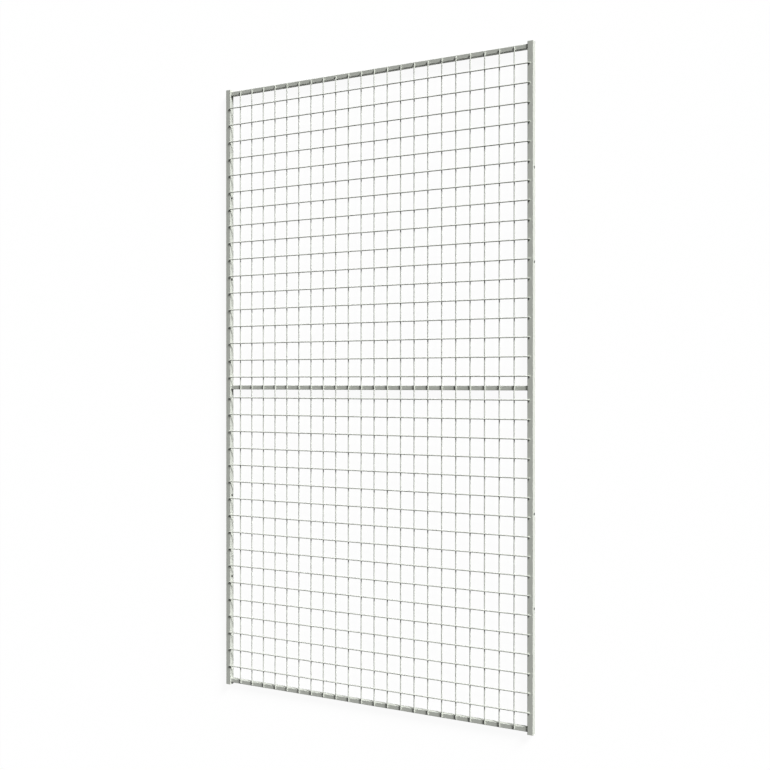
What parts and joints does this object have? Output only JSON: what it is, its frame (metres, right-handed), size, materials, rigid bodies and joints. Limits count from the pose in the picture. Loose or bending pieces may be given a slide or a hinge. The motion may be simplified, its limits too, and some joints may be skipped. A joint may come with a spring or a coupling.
{
  "type": "welded mesh fence panel",
  "caption": "Flat rectangular fence panel: a square-tube frame with a middle rail, covered on its front by a sheet of welded wire mesh, with fixing holes through the stiles.",
  "frame": {"origin": "middle of the panel's back, on the surface that it lies on", "axes": "+X across the panel to the right as seen from the front, +Y up its height, +Z out of its front, the side with the mesh"},
  "size_m": [1.2, 2.2, 0.024],
  "materials": {
    "stiles": "light grey powder coat, satin",
    "rails": "light grey powder coat, satin",
    "mesh": "light grey powder coat, satin"
  },
  "bodies": {
    "root": {"left_stile": "stiles", "right_stile": "stiles", "top_rail": "rails", "middle_rail": "rails", "bottom_rail": "rails", "upper_mesh": "mesh", "lower_mesh": "mesh"}
  },
  "joints": []
}
